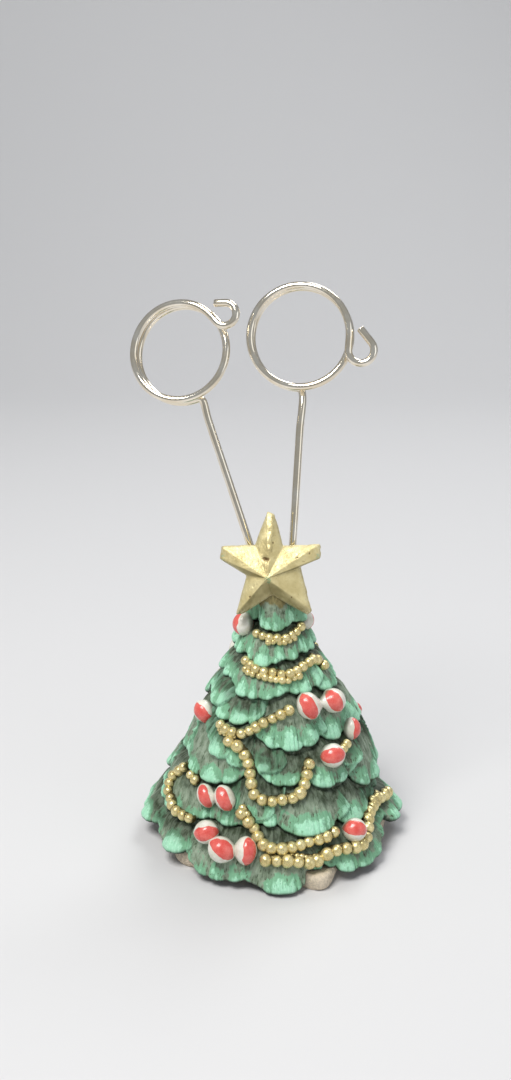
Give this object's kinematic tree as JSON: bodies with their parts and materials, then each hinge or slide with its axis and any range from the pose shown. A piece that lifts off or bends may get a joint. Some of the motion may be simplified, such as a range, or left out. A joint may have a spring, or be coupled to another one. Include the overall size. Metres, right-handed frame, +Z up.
{
  "type": "card holder",
  "caption": "Painted resin tree figurine on a flat foot, with a gold star and coiled steel wire clips that hold greeting cards or photos.",
  "frame": {"origin": "on the surface that the foot stands on, under the middle of the tree", "axes": "+Z up, -Y towards the viewer of the star's face, +X to that viewer's right"},
  "size_m": [0.0726, 0.0729, 0.1442],
  "materials": {
    "painted_green": "painted cast resin, satin, lighter on the edges of the fronds",
    "bare_resin": "unpainted cast resin, matte",
    "painted_gold": "metallic gold paint on resin",
    "bead_gold": "antique gold paint on resin",
    "candy_red": "red and white glossy paint on resin",
    "polished_steel": "polished plated steel wire"
  },
  "bodies": {
    "root": {"plinth": "bare_resin", "star": "painted_gold", "clip_wire_left": "polished_steel", "clip_wire_right": "polished_steel", "branch_tier_1": "painted_green", "branch_tier_2": "painted_green", "branch_tier_3": "painted_green", "branch_tier_4": "painted_green", "branch_tier_5": "painted_green", "branch_tier_6": "painted_green", "branch_tier_7": "painted_green", "garland_crown": "bead_gold", "garland_crown_back": "bead_gold", "garland_upper": "bead_gold", "garland_upper_back": "bead_gold", "garland_middle": "bead_gold", "garland_middle_back": "bead_gold", "garland_drape": "bead_gold", "garland_drape_end": "bead_gold", "garland_swag_start": "bead_gold", "garland_swag": "bead_gold", "garland_loop": "bead_gold", "garland_hem": "bead_gold", "garland_hem_rear": "bead_gold", "peppermint_01": "candy_red", "peppermint_02": "candy_red", "peppermint_03": "candy_red", "peppermint_04": "candy_red", "peppermint_05": "candy_red", "peppermint_06": "candy_red", "peppermint_07": "candy_red", "peppermint_08": "candy_red", "peppermint_09": "candy_red", "peppermint_10": "candy_red", "peppermint_11": "candy_red", "peppermint_12": "candy_red", "peppermint_13": "candy_red", "peppermint_14": "candy_red", "peppermint_15": "candy_red", "peppermint_16": "candy_red", "peppermint_17": "candy_red", "peppermint_18": "candy_red", "peppermint_19": "candy_red", "peppermint_20": "candy_red"}
  },
  "joints": []
}
